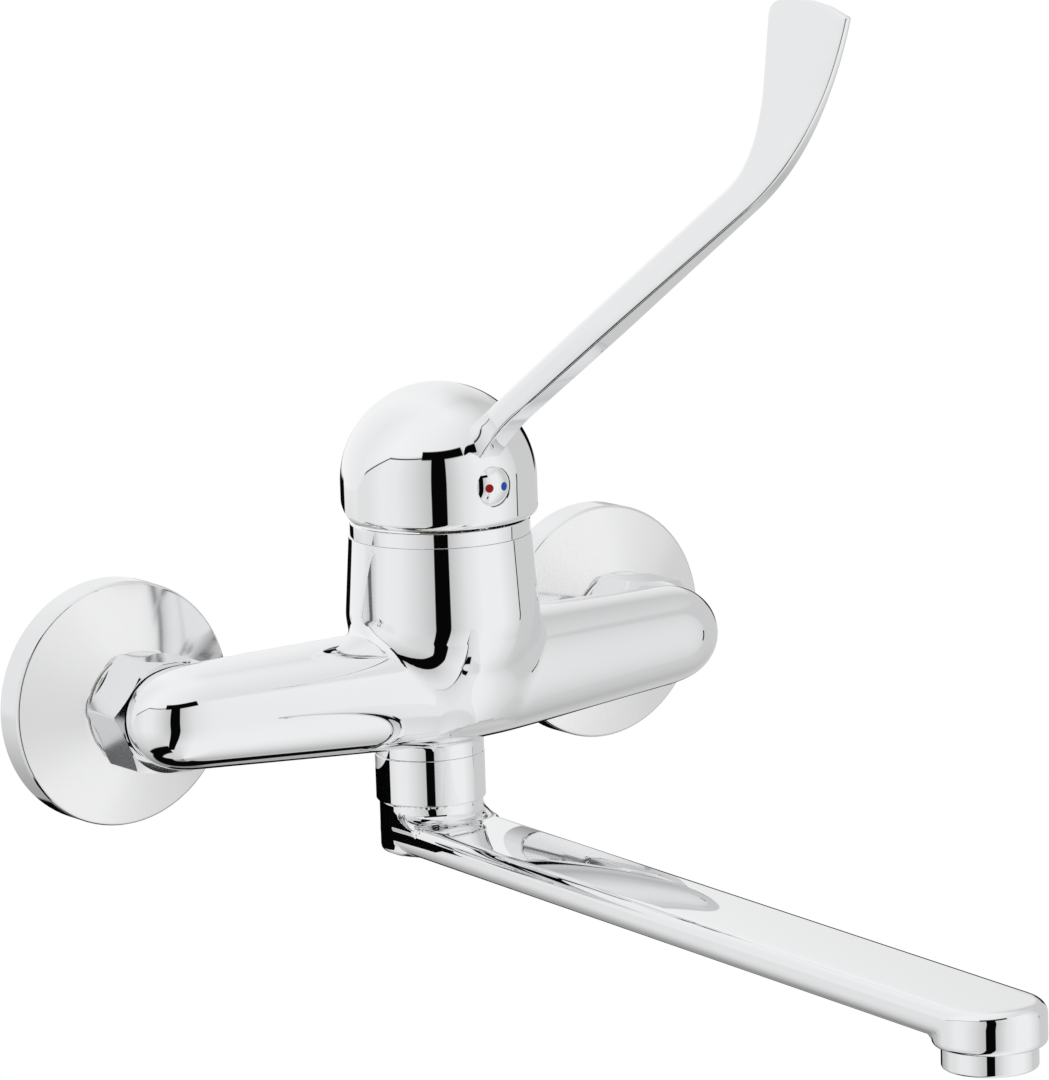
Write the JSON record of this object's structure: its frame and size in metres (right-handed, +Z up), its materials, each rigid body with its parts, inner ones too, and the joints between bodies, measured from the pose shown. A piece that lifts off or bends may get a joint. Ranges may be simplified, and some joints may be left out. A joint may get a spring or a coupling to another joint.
{
  "type": "elbow lever mixer tap",
  "caption": "Wall-mounted mixer tap with a long elbow lever on a domed cap, a bowed body, hexagon wall unions with round flanges and a flat swivel spout with an aerator.",
  "frame": {"origin": "on the wall face, midway between the axes of the two wall threads", "axes": "+X to the right along the body, +Y into the wall, +Z up; the spout points along -Y at rest"},
  "size_m": [0.2126, 0.2881, 0.2389],
  "materials": {
    "chrome": "polished chrome plate",
    "brass": "machined",
    "steel": "plain",
    "rubber": "matt",
    "plastic": "moulded",
    "insert": "moulded",
    "ceramic": "lapped ceramic",
    "red": "enamel",
    "blue": "enamel"
  },
  "bodies": {
    "fixed": {"body": "chrome", "union_left": "brass", "union_right": "brass", "flange_left": "chrome", "flange_right": "chrome", "nut_left": "chrome", "nut_right": "chrome", "tail_left": "brass", "tail_right": "brass", "washer_left": "rubber", "washer_right": "rubber", "cartridge_base": "plastic", "base_seals": "rubber", "cartridge_housing": "plastic", "fixed_disc": "ceramic", "cartridge_nut": "brass", "cover_ring": "chrome", "collar_nut": "chrome"},
    "turner": {"carrier": "plastic", "pivot_pin": "brass"},
    "handle": {"stem": "brass", "lever": "chrome", "grub_screw": "steel", "index_button": "chrome", "red_dot": "red", "blue_dot": "blue"},
    "slider": {"moving_disc": "ceramic", "disc_driver": "plastic"},
    "outflow": {"spout": "chrome", "spout_rings": "rubber", "slide_ring": "plastic", "aerator_housing": "chrome", "aerator_insert": "insert", "aerator_gasket": "rubber"}
  },
  "joints": [
    {"name": "temperature_turn", "type": "hinge", "parent": "fixed", "child": "turner", "pos_m": [0, -0.0423, 0.0455], "axis": [0, 0, 1], "range_deg": [-50, 50]},
    {"name": "flow_lift", "type": "hinge", "parent": "turner", "child": "handle", "pos_m": [0, -0.0423, 0.0455], "axis": [-1, 0, 0], "range_deg": [0, 22]},
    {"name": "disc_slide", "type": "slide", "parent": "turner", "child": "slider", "axis": [0, -1, 0], "range_m": [0, 0.00596]},
    {"name": "spout_swivel", "type": "hinge", "parent": "fixed", "child": "outflow", "pos_m": [0, -0.034, -0.02625], "axis": [0, 0, 1], "range_deg": [-90, 90]}
  ],
  "couplings": [
    {"joint": "disc_slide", "follows": "flow_lift", "m_per_rad": 0.0155}
  ]
}
